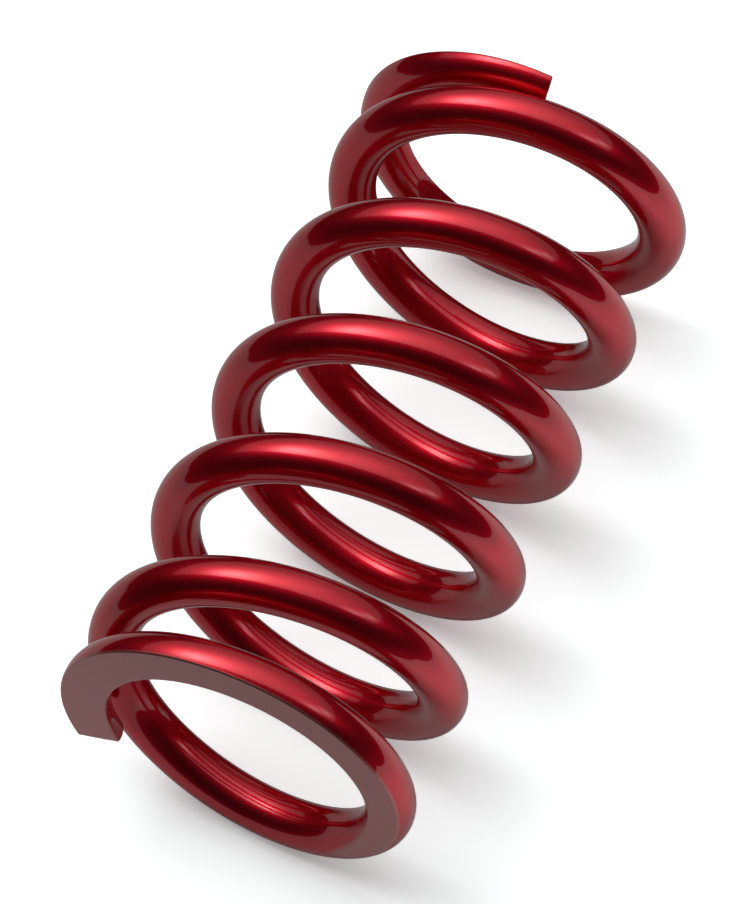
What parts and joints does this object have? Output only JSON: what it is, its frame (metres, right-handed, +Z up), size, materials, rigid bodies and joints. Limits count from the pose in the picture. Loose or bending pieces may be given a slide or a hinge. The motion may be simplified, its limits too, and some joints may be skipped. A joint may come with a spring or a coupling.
{
  "type": "coil spring",
  "caption": "Right-hand coilover compression spring of round wire, closed and ground flat at both ends, painted metallic red.",
  "frame": {"origin": "on the ground below the middle of the spring, which lies on its side", "axes": "+X along the spring's axis from the lower seat to the upper seat, as it is installed, +Z up"},
  "size_m": [0.1814, 0.0888, 0.0888],
  "materials": {
    "spring_paint": "deep candy red metallic gloss paint with a clear coat, over the whole wire and both ground faces"
  },
  "bodies": {
    "lower_end_coil": {"lower_end_coil": "spring_paint"},
    "coil_1_arc_1": {"coil_1_arc_1": "spring_paint"},
    "coil_1_arc_2": {"coil_1_arc_2": "spring_paint"},
    "coil_1_arc_3": {"coil_1_arc_3": "spring_paint"},
    "coil_1_arc_4": {"coil_1_arc_4": "spring_paint"},
    "coil_1_arc_5": {"coil_1_arc_5": "spring_paint"},
    "coil_1_arc_6": {"coil_1_arc_6": "spring_paint"},
    "coil_2_arc_1": {"coil_2_arc_1": "spring_paint"},
    "coil_2_arc_2": {"coil_2_arc_2": "spring_paint"},
    "coil_2_arc_3": {"coil_2_arc_3": "spring_paint"},
    "coil_2_arc_4": {"coil_2_arc_4": "spring_paint"},
    "coil_2_arc_5": {"coil_2_arc_5": "spring_paint"},
    "coil_2_arc_6": {"coil_2_arc_6": "spring_paint"},
    "coil_3_arc_1": {"coil_3_arc_1": "spring_paint"},
    "coil_3_arc_2": {"coil_3_arc_2": "spring_paint"},
    "coil_3_arc_3": {"coil_3_arc_3": "spring_paint"},
    "coil_3_arc_4": {"coil_3_arc_4": "spring_paint"},
    "coil_3_arc_5": {"coil_3_arc_5": "spring_paint"},
    "coil_3_arc_6": {"coil_3_arc_6": "spring_paint"},
    "coil_4_arc_1": {"coil_4_arc_1": "spring_paint"},
    "coil_4_arc_2": {"coil_4_arc_2": "spring_paint"},
    "coil_4_arc_3": {"coil_4_arc_3": "spring_paint"},
    "coil_4_arc_4": {"coil_4_arc_4": "spring_paint"},
    "coil_4_arc_5": {"coil_4_arc_5": "spring_paint"},
    "coil_4_arc_6": {"coil_4_arc_6": "spring_paint"},
    "upper_end_coil": {"upper_end_coil": "spring_paint"}
  },
  "joints": [
    {"name": "compression", "type": "slide", "parent": "lower_end_coil", "child": "upper_end_coil", "axis": [-1, 0, 0], "range_m": [0, 0.085], "stiffness_N_per_m": 103000},
    {"name": "coil_1_arc_1_travel", "type": "slide", "parent": "lower_end_coil", "child": "coil_1_arc_1", "axis": [-1, 0, 0], "range_m": [0, 0.00177]},
    {"name": "coil_1_arc_2_travel", "type": "slide", "parent": "lower_end_coil", "child": "coil_1_arc_2", "axis": [-1, 0, 0], "range_m": [0, 0.00532]},
    {"name": "coil_1_arc_3_travel", "type": "slide", "parent": "lower_end_coil", "child": "coil_1_arc_3", "axis": [-1, 0, 0], "range_m": [0, 0.00886]},
    {"name": "coil_1_arc_4_travel", "type": "slide", "parent": "lower_end_coil", "child": "coil_1_arc_4", "axis": [-1, 0, 0], "range_m": [0, 0.0124]},
    {"name": "coil_1_arc_5_travel", "type": "slide", "parent": "lower_end_coil", "child": "coil_1_arc_5", "axis": [-1, 0, 0], "range_m": [0, 0.01594]},
    {"name": "coil_1_arc_6_travel", "type": "slide", "parent": "lower_end_coil", "child": "coil_1_arc_6", "axis": [-1, 0, 0], "range_m": [0, 0.01948]},
    {"name": "coil_2_arc_1_travel", "type": "slide", "parent": "lower_end_coil", "child": "coil_2_arc_1", "axis": [-1, 0, 0], "range_m": [0, 0.02302]},
    {"name": "coil_2_arc_2_travel", "type": "slide", "parent": "lower_end_coil", "child": "coil_2_arc_2", "axis": [-1, 0, 0], "range_m": [0, 0.02656]},
    {"name": "coil_2_arc_3_travel", "type": "slide", "parent": "lower_end_coil", "child": "coil_2_arc_3", "axis": [-1, 0, 0], "range_m": [0, 0.03011]},
    {"name": "coil_2_arc_4_travel", "type": "slide", "parent": "lower_end_coil", "child": "coil_2_arc_4", "axis": [-1, 0, 0], "range_m": [0, 0.03365]},
    {"name": "coil_2_arc_5_travel", "type": "slide", "parent": "lower_end_coil", "child": "coil_2_arc_5", "axis": [-1, 0, 0], "range_m": [0, 0.03719]},
    {"name": "coil_2_arc_6_travel", "type": "slide", "parent": "lower_end_coil", "child": "coil_2_arc_6", "axis": [-1, 0, 0], "range_m": [0, 0.04073]},
    {"name": "coil_3_arc_1_travel", "type": "slide", "parent": "lower_end_coil", "child": "coil_3_arc_1", "axis": [-1, 0, 0], "range_m": [0, 0.04427]},
    {"name": "coil_3_arc_2_travel", "type": "slide", "parent": "lower_end_coil", "child": "coil_3_arc_2", "axis": [-1, 0, 0], "range_m": [0, 0.04782]},
    {"name": "coil_3_arc_3_travel", "type": "slide", "parent": "lower_end_coil", "child": "coil_3_arc_3", "axis": [-1, 0, 0], "range_m": [0, 0.05136]},
    {"name": "coil_3_arc_4_travel", "type": "slide", "parent": "lower_end_coil", "child": "coil_3_arc_4", "axis": [-1, 0, 0], "range_m": [0, 0.0549]},
    {"name": "coil_3_arc_5_travel", "type": "slide", "parent": "lower_end_coil", "child": "coil_3_arc_5", "axis": [-1, 0, 0], "range_m": [0, 0.05844]},
    {"name": "coil_3_arc_6_travel", "type": "slide", "parent": "lower_end_coil", "child": "coil_3_arc_6", "axis": [-1, 0, 0], "range_m": [0, 0.06198]},
    {"name": "coil_4_arc_1_travel", "type": "slide", "parent": "lower_end_coil", "child": "coil_4_arc_1", "axis": [-1, 0, 0], "range_m": [0, 0.06552]},
    {"name": "coil_4_arc_2_travel", "type": "slide", "parent": "lower_end_coil", "child": "coil_4_arc_2", "axis": [-1, 0, 0], "range_m": [0, 0.06907]},
    {"name": "coil_4_arc_3_travel", "type": "slide", "parent": "lower_end_coil", "child": "coil_4_arc_3", "axis": [-1, 0, 0], "range_m": [0, 0.07261]},
    {"name": "coil_4_arc_4_travel", "type": "slide", "parent": "lower_end_coil", "child": "coil_4_arc_4", "axis": [-1, 0, 0], "range_m": [0, 0.07615]},
    {"name": "coil_4_arc_5_travel", "type": "slide", "parent": "lower_end_coil", "child": "coil_4_arc_5", "axis": [-1, 0, 0], "range_m": [0, 0.07969]},
    {"name": "coil_4_arc_6_travel", "type": "slide", "parent": "lower_end_coil", "child": "coil_4_arc_6", "axis": [-1, 0, 0], "range_m": [0, 0.08323]}
  ],
  "couplings": [
    {"joint": "coil_1_arc_1_travel", "follows": "compression", "ratio": 0.020833},
    {"joint": "coil_1_arc_2_travel", "follows": "compression", "ratio": 0.0625},
    {"joint": "coil_1_arc_3_travel", "follows": "compression", "ratio": 0.10417},
    {"joint": "coil_1_arc_4_travel", "follows": "compression", "ratio": 0.14583},
    {"joint": "coil_1_arc_5_travel", "follows": "compression", "ratio": 0.1875},
    {"joint": "coil_1_arc_6_travel", "follows": "compression", "ratio": 0.22917},
    {"joint": "coil_2_arc_1_travel", "follows": "compression", "ratio": 0.27083},
    {"joint": "coil_2_arc_2_travel", "follows": "compression", "ratio": 0.3125},
    {"joint": "coil_2_arc_3_travel", "follows": "compression", "ratio": 0.35417},
    {"joint": "coil_2_arc_4_travel", "follows": "compression", "ratio": 0.39583},
    {"joint": "coil_2_arc_5_travel", "follows": "compression", "ratio": 0.4375},
    {"joint": "coil_2_arc_6_travel", "follows": "compression", "ratio": 0.47917},
    {"joint": "coil_3_arc_1_travel", "follows": "compression", "ratio": 0.52083},
    {"joint": "coil_3_arc_2_travel", "follows": "compression", "ratio": 0.5625},
    {"joint": "coil_3_arc_3_travel", "follows": "compression", "ratio": 0.60417},
    {"joint": "coil_3_arc_4_travel", "follows": "compression", "ratio": 0.64583},
    {"joint": "coil_3_arc_5_travel", "follows": "compression", "ratio": 0.6875},
    {"joint": "coil_3_arc_6_travel", "follows": "compression", "ratio": 0.72917},
    {"joint": "coil_4_arc_1_travel", "follows": "compression", "ratio": 0.77083},
    {"joint": "coil_4_arc_2_travel", "follows": "compression", "ratio": 0.8125},
    {"joint": "coil_4_arc_3_travel", "follows": "compression", "ratio": 0.85417},
    {"joint": "coil_4_arc_4_travel", "follows": "compression", "ratio": 0.89583},
    {"joint": "coil_4_arc_5_travel", "follows": "compression", "ratio": 0.9375},
    {"joint": "coil_4_arc_6_travel", "follows": "compression", "ratio": 0.97917}
  ]
}
